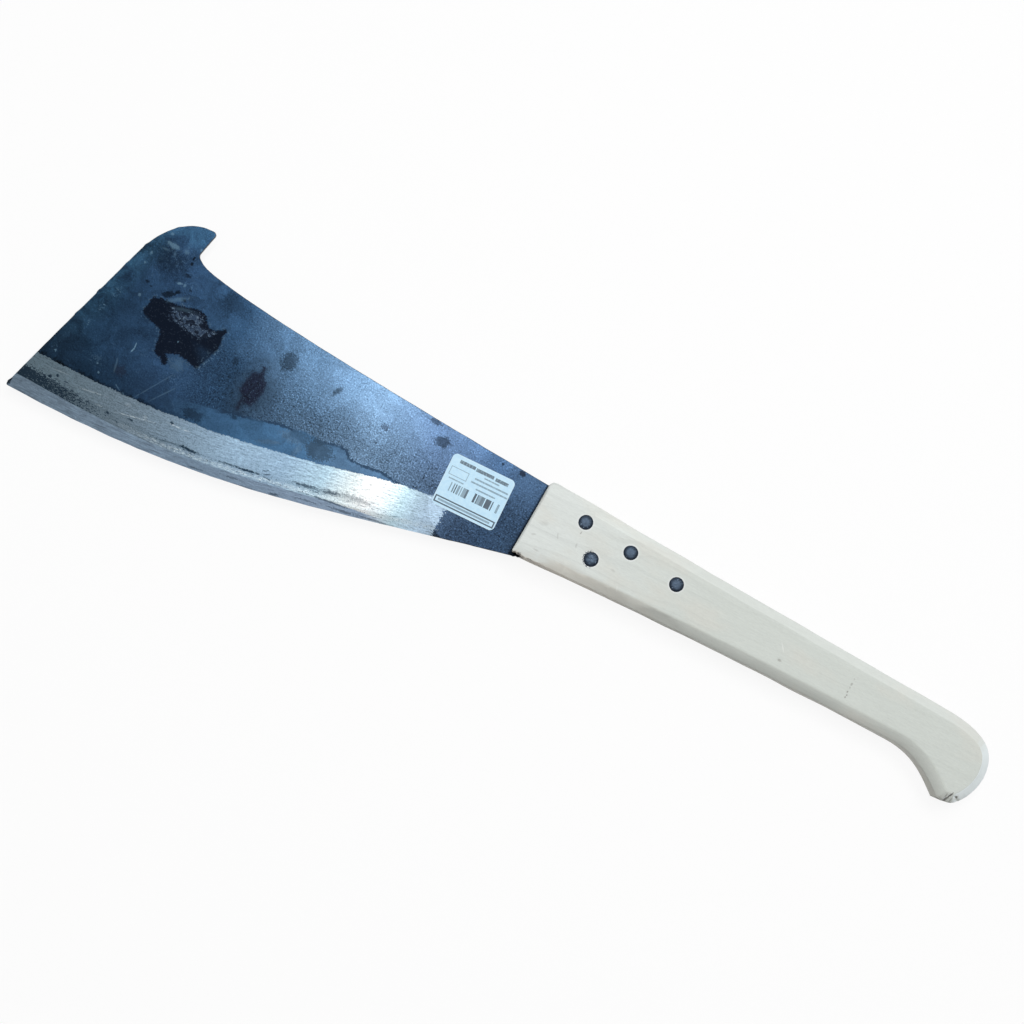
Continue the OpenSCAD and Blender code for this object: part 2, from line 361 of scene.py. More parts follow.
# The blade. Places are in millimetres, as (x, y) in the part's frame.
# A mark is an ellipse: its middle's x and y, its half width and half height, its strength, and
# where needed its turn in degrees and how soft its rim is.
blade = {
    "middle": 13.0,  # height of the plate's mid-plane
    "edgeHalf": 0.21,  # just over half the cutting edge's thickness
    "wallHalf": 0.5,  # edges nearer the mid-plane than this belong to the cutting edge
    "edgeRound": 0.25,  # rounding of the sheared outline
    "roundedTo": -143.0,  # the tang keeps its sharp edges
    "toeRound": 1.6,
    "smoothLimit": 14.0,  # degrees, above which an edge stays sharp
    "levelLimit": 0.5,  # the same between faces that lie nearly level
    # where the mesh is cut: axis, start, end, size
    "cuts": [
        (0, -451.5, -403.5, 2.5), (0, -403.5, -353, 1.3), (0, -353, -155.5, 2.5),
        (0, -155.5, -143, 0.8), (1, -78, -26, 2.5), (1, -26, 16, 1.3), (1, 16, 62, 2.5),
    ],
    "waver": 0.22,  # how far a hand-guided cut strays
    "waverLength": 13.0,
    "still": (-171.5, -155.5),  # over which the waver dies out towards the handle
    "nookShade": (-150.9, -149.3),  # painted shade in the corner under the handle's end
    "lipWidth": (8.5, 5.5),  # the finer bevel at the toe, and further on
    "lipNarrows": (-451.5, -341.5),
    # bumps of burr along the front and in the hook: place, reach, push
    "burrs": [
        ((-420.8, 33.7), 1.6, (-0.45, 0.1)), ((-424.8, 17.9), 1.8, (-0.35, 0.1)),
        ((-430.7, -2.9), 2, (-0.4, 0.1)), ((-408.3, 51.1), 2.2, (-0.2, 0.25)),
        ((-449.5, -73), 2.2, (-0.75, 0.2)), ((-435.5, -20.5), 1.6, (-0.3, 0.1)),
        ((-148, -25), 1.1, (0.1, -0.5)), ((-145.4, -24), 1.2, (0.1, -0.7)),
        ((-385.4, 42.5), 1.3, (0.35, 0.2)), ((-392.5, 58), 1.5, (0.1, -0.15)),
    ],
    # where old coating is left
    "patch": [
        (-401.6, 9), (-397.9, 10.2), (-393.8, 10.9), (-389.2, 11.1), (-384.6, 11.8),
        (-380.9, 12.8), (-378, 14.3), (-373.8, 14.9), (-369.6, 13.6), (-367.1, 10.3), (-365, 8.2),
        (-361.2, 8.6), (-357.9, 10.3), (-356.3, 12.4), (-354.2, 11.5), (-355.8, 7.8), (-354, 1.9),
        (-354.8, -1.4), (-357.5, -9.8), (-359.9, -16.5), (-362.8, -15.6), (-366.6, -14.4),
        (-372.4, -14), (-376.6, -15.2), (-379.9, -17.3), (-377.3, -18.6), (-376, -21.1),
        (-376.8, -23.1), (-378.9, -23.1), (-380.6, -20.2), (-384, -19.8), (-386.1, -18.6),
        (-387, -14), (-387.9, -9.8), (-388.8, -6.5), (-390.9, -5.5), (-395.9, -4.4), (-401, -3.1),
        (-403.1, -1.5), (-402.3, 1.9),
    ],
    # the rubbed zone inside it
    "rubbed": [
        (-389.1, 8.2), (-384.5, 9), (-380.4, 9.4), (-377.9, 11.9), (-373.8, 12.6), (-370.4, 11.1),
        (-368.7, 7.8), (-364.5, 5.8), (-360.3, 8.1), (-360.3, 5.1), (-363.2, 2.4), (-366.1, 0.4),
        (-372.7, 0.6), (-381.1, 1.5), (-389.4, 3.1),
    ],
    "tints": {
        "film": (0.027, 0.078, 0.138), "smoothToe": (0.026, 0.068, 0.132),
        "smooth": (0.034, 0.092, 0.178), "grey": (0.026, 0.053, 0.09),
        "greyRim": (0.09, 0.15, 0.22), "tide": (0.05, 0.1, 0.16), "brown": (0.012, 0.016, 0.03),
        "stain": (0.006, 0.008, 0.019), "stainSpeck": (0.045, 0.08, 0.13),
        "border": (0.008, 0.018, 0.036), "rubbedDark": (0.006, 0.012, 0.026),
        "rubbed": (0.032, 0.056, 0.1), "rubbedRim": (0.17, 0.25, 0.34),
        "coating": (0.0012, 0.0055, 0.016), "coatingFleck": (0.022, 0.034, 0.054),
        "coatingRim": (0.07, 0.12, 0.17), "light": (0.12, 0.22, 0.31),
        "fleck": (0.13, 0.23, 0.31), "shoulder": (0.55, 0.64, 0.68),
        "scratch": (0.55, 0.63, 0.67), "lipLeftover": (0.03, 0.045, 0.065),
        "leftover": (0.016, 0.032, 0.052), "lipWorn": (0.045, 0.062, 0.09),
        "burnt": (0.008, 0.014, 0.022), "sheared": (0.035, 0.048, 0.064),
    },
    # tones along the blade, from the toe to the handle: partly the scale's own tone, partly painted
    # sheen, lightest where the lamp's sheen falls
    "scaleTonesAndSheen": [
        (0, (0.011, 0.025, 0.047)), (0.1, (0.013, 0.036, 0.073)), (0.22, (0.019, 0.047, 0.099)),
        (0.36, (0.021, 0.053, 0.106)), (0.5, (0.063, 0.12, 0.2)), (0.64, (0.122, 0.206, 0.318)),
        (0.77, (0.062, 0.106, 0.184)), (0.9, (0.033, 0.066, 0.125)), (1, (0.033, 0.062, 0.11)),
    ],
    # tones of the ground band, from the toe to its end: partly its own tone, partly painted sheen,
    # and the pale stretch about 0.84 is a painted highlight
    "groundTonesAndSheen": [
        (0.05, (0.15, 0.215, 0.26)), (0.28, (0.152, 0.21, 0.262)), (0.4, (0.168, 0.24, 0.31)),
        (0.52, (0.209, 0.305, 0.4)), (0.64, (0.18, 0.265, 0.35)), (0.73, (0.234, 0.33, 0.393)),
        (0.79, (0.39, 0.44, 0.45)), (0.84, (0.55, 0.56, 0.56)), (0.91, (0.33, 0.45, 0.51)),
        (0.97, (0.42, 0.56, 0.7)),
    ],
    "lipTones": [
        (0, (0.19, 0.262, 0.34)), (0.3, (0.208, 0.288, 0.38)), (0.48, (0.192, 0.27, 0.362)),
        (0.8, (0.207, 0.276, 0.37)),
    ],
    # the coarse scale's lower border, from the toe to the handle
    "coarse": [
        (-470, -62), (-345, -33), (-338, -31.5), (-333, -29.5), (-328.1, -28.1), (-319.9, -26.4),
        (-314.1, -25.2), (-309.1, -23.1), (-304.1, -21.4), (-297.5, -20.4), (-292.5, -20.4),
        (-289.2, -18.5), (-275.9, -18.5), (-266, -16), (-261, -16), (-258, -19.7), (-249.3, -19.7),
        (-236.9, -17.6), (-227.7, -18.7), (-215, -24), (-205, -45), (-100, -70), (-100, 90),
        (-470, 90),
    ],
    # the heat stain half way along
    "stain": [
        (-332.1, -13.9), (-331, -6.4), (-329.8, -2.3), (-326.5, -1.8), (-326.5, 3.6),
        (-325.3, 3.6), (-324.4, -1.4), (-320.2, -5.6), (-320.1, -11.4), (-320.8, -16.4),
        (-323.3, -20.6), (-326.6, -20.2), (-327.8, -25.6), (-329.2, -25.2), (-328.3, -18.9),
    ],
    "dark": [
        (-315, 13.2, 4.6, 5.8, 0.6, 0, 0.35), (-282.5, 10.7, 4.3, 1.5, 0.55, 63, 0.4),
        (-358.2, 27.1, 9, 5.5, 0.4, 0, 0.6), (-342.3, -1.4, 1.5, 2.4, 0.45, 0, 0.4),
        (-327.3, -30.6, 2.2, 1.2, 0.6, 5, 0.4), (-348.7, -40.6, 6, 3, 0.5, -8, 0.4),
        (-215.4, 14.1, 4.9, 3.3, 0.62, 12, 0.25), (-224.2, 22.6, 3.5, 1.5, 0.6, -5, 0.3),
        (-178.2, 19.2, 0.9, 0.9, 0.8, 0, 0.4), (-165.8, 19.7, 2.2, 1.6, 0.7, -5, 0.3),
        (-146.6, -22.6, 2.6, 1.6, 0.95, 0, 0.3), (-394.2, 14.6, 4.6, 1.7, 0.7, 34, 0.3),
        (-390.6, 17.8, 1.6, 1.1, 0.8, 30, 0.4), (-409, 15.4, 1.3, 0.8, 0.7, 10, 0.4),
        (-406.1, 13.6, 0.9, 0.6, 0.6, 0, 0.4), (-385, 15.6, 1, 0.8, 0.8, 0, 0.4),
        (-384.8, 22.2, 1.2, 0.6, 0.6, -15, 0.4), (-392, 39.5, 0.6, 1.2, 0.8, -10, 0.4),
        (-391.5, 35.9, 0.8, 1.1, 0.8, 10, 0.4), (-390.8, 29.1, 2.3, 1.2, 0.6, -5, 0.4),
        (-406, 32, 14, 6.5, 0.5, -14, 0.7), (-380, 18, 7.5, 3, 0.3, 12, 0.4),
        (-385.2, 1.5, 8, 2.5, 0.3, 0, 0.7), (-421, 30, 2, 3, 0.4, -15, 0.6),
    ],
    "brown": [
        (-397.7, -37.7, 3.6, 3.2, 0.5, 0, 0.4), (-248.3, 5.7, 2.2, 2, 0.6, 0, 0.3),
        (-249, -3.9, 1.6, 1.2, 0.3, 0, 0.4), (-165.8, 20, 1.8, 1.2, 0.4),
    ],
    "light": [
        (-405.6, 40.6, 3.4, 1.3, 0.5, -5, 0.4), (-397.7, 41, 1.6, 1.1, 0.3),
        (-410, 46.4, 0.8, 0.8, 0.5), (-415.4, 30.7, 0.8, 1.1, 0.45),
        (-415.8, 24.4, 0.8, 0.7, 0.45), (-403, 36.6, 0.7, 1.4, 0.2, 20, 0.6),
        (-392.3, 22.9, 1.4, 0.7, 0.55, 15), (-389.1, 23.3, 0.7, 1, 0.45),
        (-409.3, 6.1, 0.8, 0.7, 0.4), (-390.7, 46, 0.8, 0.8, 0.6, 0, 0.4),
        (-370.3, -18.9, 4.3, 3.9, 0.14, 0, 0.15), (-435.7, -44.8, 0.7, 0.6, 0.8, 0, 0.4),
        (-408.9, 36.8, 2.2, 0.5, 0.2, 8, 0.6), (-388.6, 14.2, 5.5, 1.1, 0.25, 36, 0.7),
        (-396.9, -20.9, 0.3, 2, 0.8, 8), (-397.2, -24.2, 0.3, 1.6, 0.8, -14),
        (-401.3, -36, 0.5, 4, 0.2, 14, 0.7), (-377.4, -38.1, 0.3, 12, 0.18, -31),
        (-369.4, -38.1, 0.3, 8, 0.2, -35), (-394, -47, 2.2, 0.3, 0.3, -30),
        (-389, -49, 1.5, 0.3, 0.3, -35), (-376.5, -7.2, 0.6, 0.6, 0.6, 0, 0.4),
        (-408, -44.5, 0.6, 0.5, 0.5, 0, 0.4), (-411, -40, 0.5, 0.5, 0.5, 0, 0.4),
        (-383, 10.5, 5, 0.9, 0.2, 14, 0.8),
    ],
    # where the scale is sprinkled with light flecks, and with bright ones
    "flecks": [
        (-421, 1.5, 2.8, 4.6, 0.9, -10), (-424.6, -9.8, 2.2, 4.2, 0.9, -12),
        (-427, -21.8, 2.6, 2.2, 0.8), (-413, -38.5, 5, 4, 0.6, 0, 0.6),
        (-386.4, 24.2, 5.5, 3, 0.5, 0, 0.6), (-357.5, -9, 3.4, 12, 0.6, -18, 0.6),
        (-367, -27, 8, 4, 0.5, 0, 0.7), (-437, -42, 1.6, 3.5, 0.7, -15, 0.6),
        (-400, 36, 12, 9, 0.4, 0, 0.8),
    ],
    "sparkles": [
        (-270, -12.5, 6.5, 3.6, 1, 0, 0.6), (-322, -14, 3.5, 9, 0.6, 0, 0.7),
        (-300, -8, 24, 11, 0.45, 0, 0.8),
    ],
    # the smooth zone's grey smears
    "grey": [
        (-274.5, -24.6, 8, 5.4, 1, 5, 0.1), (-291, -24, 8.5, 3.4, 0.6, 12, 0.3),
        (-286.5, -30.5, 1.8, 4.5, 0.4, -10, 0.4), (-303, -33.5, 7, 1.2, 0.4, 24),
        (-374, -18.4, 5.2, 4.2, 0.7, 0, 0.15), (-398.5, -36, 5.4, 5, 0.3, 0, 0.2),
    ],
    "burnt": [(-450.4, -72.6, 1.0, 2.8, 0.9, 0, 0.4)],  # the toe's tip
    # scratches and leftover scale on the ground band
    "scratches": [
        (-406.1, -56.2, 7.6, 0.4, 0.6, 10), (-398.6, -61.2, 2.2, 0.4, 0.7, 4),
        (-376.6, -57.3, 11.4, 0.35, 0.7, 13), (-354.6, -50.9, 4, 0.4, 0.8, 2),
        (-347.6, -50.3, 2.5, 0.35, 0.7, 12), (-428, -54.5, 7, 0.4, 0.25, 6, 0.6),
        (-372, -54.6, 1.2, 1, 0.35, 0, 0.7), (-384, -53, 1.6, 0.9, 0.3, 0, 0.7),
    ],
    "leftovers": [
        (-341.5, -59.2, 5.5, 0.8, 1, 3), (-354, -61, 9, 0.35, 0.6, 11),
        (-317, -55.6, 6, 0.45, 0.8, 12), (-305.5, -53.8, 6.5, 0.6, 1, 12),
        (-295, -50.6, 2, 0.35, 0.8, 30), (-293.5, -52.6, 2.6, 0.35, 0.7, -4),
        (-296.6, -48.9, 2.6, 0.35, 0.6, 32), (-357, -50.3, 1.2, 0.6, 1),
        (-285.4, -58.4, 1.8, 0.7, 0.9, 20, 0.4), (-302, -62.6, 6, 0.35, 0.5, 12),
        (-272, -45.6, 7.5, 0.9, 0.8, 13, 0.6), (-258, -42.4, 6, 1.2, 0.8, 16, 0.6),
        (-427.6, -57.2, 1, 0.7, 1), (-431.4, -59.8, 1, 0.8, 1), (-421.5, -58.3, 1.4, 0.4, 0.8, 10),
        (-378.6, -59.9, 1.6, 0.6, 0.9), (-392, -62.4, 1.2, 0.7, 1), (-444.5, -70, 1, 0.5, 0.3, 80),
        (-256, -47.4, 12, 0.5, 0.8, 9), (-243.5, -38.8, 9.5, 1.5, 0.45, 10, 0.7),
        (-247, -48.6, 9, 0.6, 0.7, 10), (-230, -45, 12, 0.5, 0.6, 10),
        (-312, -61.8, 5, 0.45, 0.6, 10), (-331, -66.5, 4, 0.4, 0.5, 8),
        (-286.4, -59, 2.6, 0.7, 0.9, 12, 0.4), (-268, -53, 6, 0.4, 0.6, 11),
    ],
}


def sideDistance(point, a, b):
    reach = b - a
    part = max(0.0, min(1.0, (point - a).dot(reach) / reach.length_squared))
    return (point - a - reach * part).length, part


def depthInside(point, corners):
    # Distance to a closed outline, above 0 inside it
    inside = False
    nearest = math.inf
    for a, b in zip(corners, corners[1:] + corners[:1]):
        nearest = min(nearest, sideDistance(point, a, b)[0])
        if (a.y > point.y) != (b.y > point.y):
            if point.x < a.x + (b.x - a.x) * (point.y - a.y) / (b.y - a.y):
                inside = not inside
    return nearest if inside else -nearest


def alongLine(point, line):
    # How far along an open line the nearest place is, and how far the point is from it
    best = (0.0, math.inf)
    gone = 0.0
    for a, b in zip(line, line[1:]):
        away, part = sideDistance(point, a, b)
        length = (b - a).length
        if away < best[1]:
            best = (gone + part * length, away)
        gone += length
    return best


def makeBlade(setup):
    mesh = copyNode("blade")
    middle = setup["middle"]
    edgeLine = sorted(
        {
            (round(v.co.x / mm, 2), round(v.co.y / mm, 2))
            for v in mesh.verts
            if abs(v.co.z / mm - middle) < setup["edgeHalf"]
        }
    )
    edgeLine = [Vector(place) for place in edgeLine]
    toe = edgeLine[0]

    def nearToe(e):
        return all((v.co.xy / mm - toe).length < 0.1 for v in e.verts)

    def isOutline(e):
        if len(e.link_faces) != 2 or max(v.co.x for v in e.verts) / mm > setup["roundedTo"]:
            return False
        if max(abs(v.co.z / mm - middle) for v in e.verts) < setup["wallHalf"]:
            return False
        ups = sorted(abs(f.normal.z) for f in e.link_faces)
        return ups[0] < wallNormal and ups[1] > levelNormal

    bevelEdges(mesh, [e for e in mesh.edges if nearToe(e)], setup["toeRound"], 4)
    mesh.normal_update()
    bevelEdges(mesh, [e for e in mesh.edges if isOutline(e)], setup["edgeRound"], 2)
    for cut in setup["cuts"]:
        cutAcross(mesh, *cut)

    areas = {
        mesh.verts.layers.float.new(name + "Depth"): [Vector(place) for place in setup[name]]
        for name in ("patch", "rubbed", "stain", "coarse")
    }
    edgePlace = mesh.verts.layers.float_vector.new("edgePlace")
    for v in mesh.verts:
        flat = v.co.xy / mm
        for layer, corners in areas.items():
            v[layer] = depthInside(flat, corners)
        along, away = alongLine(flat, edgeLine)
        v[edgePlace] = (along, away, 0.0)

    low, high = cadBox
    for v in mesh.verts:
        flat = v.co.xy / mm
        still = 1.0 - fade(flat.x, *setup["still"])
        place = Vector((flat.x, flat.y, 0.0)) / setup["waverLength"]
        push = noise.noise_vector(place) * 0.7 + noise.noise_vector(place * 3.1) * 0.35
        push = push.xy * setup["waver"] * still
        for centre, reach, burr in setup["burrs"]:
            near = (flat - Vector(centre)).length / reach
            if near < 1.0:
                push += Vector(burr) * (1.0 - near * near)
        v.co.x = max(low[0], v.co.x + push.x * mm)
        v.co.y = min(high[1], max(low[1], v.co.y + push.y * mm))
    shadeSmooth(mesh, setup["smoothLimit"], setup["levelLimit"])
    storeFacing(mesh, setup["smoothLimit"])
    finishPiece(mesh, "bladePlate", forgedSteel(setup), "blade_steel", "blade")


def forgedSteel(setup):
    steel = Finish("forgedSteel")
    tint = setup["tints"]
    step, blend, shade = steel.step, steel.blend, steel.shade
    x, y, z = steel.axes(steel.point())
    nz = steel.axes(steel.attribute("facing", "Vector"))[2]
    flat = steel.join(x, y, 0.0)
    upper = step(z, 12.9, 13.1)  # the marks are on the label's side only
    along, away, _ = steel.axes(steel.attribute("edgePlace", "Vector"))
    both = steel.join(x, y, upper * 300.0)  # another pattern on each side

    def marks(name, wobble):
        return steel.blots(flat, wobble, setup[name]) * upper

    cloud = steel.noise(both, 0.022, 3.0, 0.5)
    smear = steel.noise(both, 0.075, 5.0, 0.65, 0.8)
    grit = steel.noise(both, 0.5, 3.0, 0.65) - 0.5
    speck = steel.noise(both, 1.1, 2.0, 0.7) - 0.5
    rough = speck + grit  # about 0, for ragged borders
    toe = step(x, -335.0, -375.0)

    # blue-black scale: darkest at the toe, lightest two thirds of the way to the handle, where
    # painted sheen is added to the scale's own tone
    drift = (x + y * 0.3 + (cloud - 0.5) * 50.0 + 460.0) / 320.0
    scale = steel.ramp(drift, setup["scaleTonesAndSheen"])
    # painted sheen: the scale is lighter towards the spine and darker towards the edge, less so
    # near the handle, and not at the toe
    sheenAtSpine = step(x, -260.0, -200.0, 0.2, 0.45) - step(x, -185.0, -162.0) * 0.35
    sheenTowardsSpine = step(y, -14.0, 25.0, -0.45, sheenAtSpine)
    sheenTowardsSpine = sheenTowardsSpine * (1.0 - toe)
    scale = shade(scale, 1.0 + sheenTowardsSpine)
    # a thinner, greener film along the front edge and on the hook
    fromFront = x - (y * 0.281 - 430.2) + (smear - 0.5) * 24.0
    film = step(fromFront, 17.0, 3.0).high(step(y, 40.0, 50.0) * 0.7)
    film = film * step(smear, 0.34, 0.58) * (step(y, -42.0, -4.0) * 0.8 + 0.2)
    scale = blend(film * 0.75, scale, tint["film"])
    lowShade = step(away, 46.0, 27.0) * step(smear, 0.4, 0.58) * toe
    hem = step(away + grit * 6.0, 27.4, 25.4) * toe
    scale = shade(scale, 1.0 - lowShade * 0.5 - hem * 0.4 + step(y, 38.0, 52.0) * 0.4)

    # coarse above its border, smooth and smeared below it
    coarseDepth = steel.attribute("coarseDepth") + rough * 3.4
    coarse = step(coarseDepth, -0.2, 0.2).high(1.0 - upper)
    inBorder = step((x + 275.0).size(), 68.0, 58.0) * upper * step(smear, 0.3, 0.5)
    border = step((coarseDepth + 0.5).size(), 1.1, 0.5) * inBorder
    smooth = (1.0 - coarse) * (1.0 - toe) * step(x, -282.0, -262.0, 0.75, 0.45)
    pastToe = step(x, -334.0, -318.0)
    smoothTone = blend(pastToe, tint["smoothToe"], tint["smooth"])
    scale = blend(smooth, scale, smoothTone)
    wobble = rough * 1.7 + (smear - 0.5) * 1.2
    grey = steel.blots(flat, wobble, setup["grey"]) * (1.0 - coarse)
    scale = blend(grey, scale, tint["grey"])
    greyRim = step((grey - 0.4).size(), 0.3, 0.05) * step(smear, 0.4, 0.55)
    scale = blend(greyRim * 0.3, scale, tint["greyRim"])
    tide = steel.noise(both, 0.05, 2.0, 0.4, 1.2)
    ring = step((tide - 0.5).size(), 0.009, 0.001) * step(smear, 0.45, 0.6)
    scale = blend(ring * 0.22, scale, tint["tide"])
    scale = shade(scale, 1.0 - step(tide, 0.495, 0.505) * 0.14)

    dark = marks("dark", wobble * 0.7)
    scale = shade(scale, 1.0 - dark)
    brown = marks("brown", wobble)
    scale = blend(brown, scale, tint["brown"])
    stainDepth = steel.attribute("stainDepth")
    stain = step(stainDepth + rough * 7.0, -1.2, 0.2) * upper
    stainTone = blend(step(speck, 0.04, 0.18), tint["stain"], tint["stainSpeck"])
    scale = blend(stain * 0.95, scale, stainTone)
    halo = step(stainDepth, -11.0, -1.0) * step(speck, 0.03, 0.1) * upper
    scale = shade(scale, 1.0 - halo * 0.75)

    # the grain: slight on the toe, strong in the coarse zone, most of all in its lower part
    lowCoarse = step(y, 14.0, -8.0) * 0.85 + 0.45
    contrast = 0.5 + coarse * lowCoarse * (1.0 - toe)
    sparkle = marks("sparkles", wobble)
    grain = speck * 2.0 + grit * 1.2 + step(speck, 0.08, 0.2) * (0.45 + sparkle) * coarse
    blotch = (smear - 0.5) * (0.6 + toe * 1.2 + (1.0 - coarse) * 0.7)
    scale = shade(scale, 1.0 + grain * contrast + blotch)
    scale = blend(border * 0.85, scale, tint["border"])
    # painted shade in the corner under the handle's end; the edge beside it is darker too
    slant = (y - frontEnd["corner"]) * frontEnd["slope"]
    nookShade = step(x - slant, *setup["nookShade"])
    heelEdge = step(away, 1.7, 0.3) * step(x, -196.0, -190.0)
    scale = shade(scale, 1.0 - nookShade.high(heelEdge * 0.7) * 0.8)

    patchDepth = steel.attribute("patchDepth") + rough * 3.6 + (smear - 0.5) * 1.6
    rim = step((patchDepth + 0.5).size(), 0.6, 0.1) * upper * step(grit, 0.0, 0.1)
    thin = step(x + y, -376.0, -366.0) * step(y, -1.0, -6.0)
    patch = step(patchDepth, -0.15, 0.25) * upper * (1.0 - thin * 0.3)
    rubbed = step(steel.attribute("rubbedDepth") + rough * 6.0, -0.8, 1.2)
    fleck = step(rough, 0.1, 0.2)
    scuff = steel.noise(both, 0.3, 4.0, 0.65, 1.0) - 0.5
    rubbedTone = blend(step(scuff, -0.06, 0.04), tint["rubbedDark"], tint["rubbed"])
    rubbedRim = step((scuff - 0.03).size(), 0.035, 0.005) * step(grit, -0.05, 0.1)
    rubbedTone = blend(rubbedRim * 0.8, rubbedTone, tint["rubbedRim"])
    coating = blend(fleck * 0.6, tint["coating"], tint["coatingFleck"])
    scale = blend(rim * 0.45, scale, tint["coatingRim"])
    scale = blend(patch, scale, blend(rubbed, coating, rubbedTone))
    light = marks("light", wobble * 1.5)
    scale = blend(light, scale, tint["light"])
    spray = step(speck, 0.13, 0.24) * step(fromFront, 26.0, 8.0)
    spray = spray * step(smear, 0.46, 0.6)
    flecks = steel.blots(flat, wobble, setup["flecks"]) * step(rough, 0.06, 0.18)
    scale = blend(flecks.high(spray) * upper * 0.4, scale, tint["fleck"])

    # the ground band: streaks from the wheel, and a finer bevel at the edge itself
    toeLip, lip = setup["lipWidth"]
    lipWidth = step(x, *setup["lipNarrows"], toeLip, lip)
    lipWidth = lipWidth * step(x, -262.0, -222.0, 1.0, 0.5)
    narrow = step(x, -235.0, -200.0) * 2.4
    side = upper * 40.0
    lines = steel.noise(steel.join(along * 0.12, away, side), 0.9, 3.0, 0.7) - 0.5
    fibre = steel.noise(steel.join(along * 0.4, away, side), 1.2, 3.0, 0.7) - 0.5
    ground = step(away + narrow + rough * 2.4 + (smear - 0.5) * 1.6, 25.05, 24.75)
    ground = ground * step(x + rough * 8.0, -195.0, -195.6)
    fromToe = (x + 452.0) / 256.0  # 0 at the toe, 1 at the band's end
    # the band's tone, with painted sheen and a painted highlight in it
    tone = steel.ramp(fromToe, setup["groundTonesAndSheen"])
    tone = shade(tone, 0.95 + lines * 1.1 + fibre * 1.3 + speck * 1.0)
    lipTone = steel.ramp(fromToe, setup["lipTones"])
    lipTone = shade(lipTone, 1.0 + lines * 1.8 + fibre * 0.8 + speck * 0.6)
    level = away - lipWidth  # above the finer bevel
    bright = step((level - 1.8 + lines * 4.0).size(), 1.9, 0.4)
    bright = bright * step(x, -400.0, -350.0)
    tone = blend(bright * step(fibre, -0.1, 0.15) * 0.6, tone, tint["shoulder"])
    ragged = rough * 2.0 + fibre * 2.4
    scratches = marks("scratches", ragged)
    scratches = scratches * step(fibre + speck, -0.12, 0.06)
    tone = blend(scratches * 0.85, tone, tint["scratch"])
    # leftover scale: solid at the toe, then in streaks along the shoulder of the bevel
    toeSide = step(x, -378.0, -446.0)
    inRow = step(level, -0.1, 0.2) * step(level + rough * 9.0, 7.6, 6.2)
    solid = step(toeSide * 0.8 + fibre * 1.6 + speck * 2.6, 0.26, 0.44) * inRow
    solid = solid * (1.0 - step(speck - fibre, 0.12, 0.2) * step(x, -444.0, -436.0))
    specks = step(fibre + speck * 0.8, 0.16, 0.22) * toeSide * 0.7
    streakRow = step((level - 4.2 + lines * 9.0).size(), 2.6, 0.6)
    streak = step(lines + fibre * 0.6, 0.05, 0.13) * streakRow * (1.0 - toeSide)
    leftovers = marks("leftovers", ragged)
    lipTone = blend(leftovers * 0.85, lipTone, tint["lipLeftover"])
    leftovers = leftovers.high(solid).high(specks).high(streak * 0.6)
    tone = blend(leftovers, tone, tint["leftover"])
    worn = step(lines + fibre * 0.4, 0.03, 0.1) * step(x, -350.0, -310.0)
    lipTone = blend(worn * 0.5, lipTone, tint["lipWorn"])
    inLip = step(level + lines, 0.2, -0.2) * step(x, -216.0, -238.0)
    tone = blend(inLip, tone, lipTone)
    burnt = steel.blots(flat, ragged, setup["burnt"])
    tone = blend(burnt, tone, tint["burnt"])
    colour = blend(ground, scale, tone)
    bare = ground * (1.0 - leftovers * (1.0 - inLip) * 0.8)
    heel = step(x, -224.0, -206.0)  # where the wheel was lifted, the steel is matt

    # the sheared walls are darker
    wall = step(nz.size(), 0.96, 0.86)
    sheared = steel.noise(steel.join(x, y, z * 0.15), 1.1, 3.0, 0.7)
    colour = blend(wall, colour, shade(tint["sheared"], 0.4 + sheared))

    relief = steel.bump(grit + speck, 0.06, (0.4 + coarse * 0.6) * (1.0 - ground * 0.5))
    relief = steel.bump(lines + fibre, 0.04, ground, relief)
    return steel.set(
        Base_Color=colour,
        Metallic=0.6 + bare * (0.3 - heel * 0.5) - patch * (1.0 - ground) * 0.55,
        Roughness=0.36 + grit * 0.2 + patch * 0.14 - bare * (0.04 - heel * 0.2),
        Specular_IOR_Level=0.05,
        Normal=relief,
    )


makeBlade(blade)

rivetNodes = {
    "rivetFrontUpper": "rivet_front_upper",
    "rivetFrontLower": "rivet_front_lower",
    "rivetMiddle": "rivet_middle",
    "rivetRear": "rivet_rear",
}
rivetPlaces = {node: middleOf(node) for node in rivetNodes.values()}

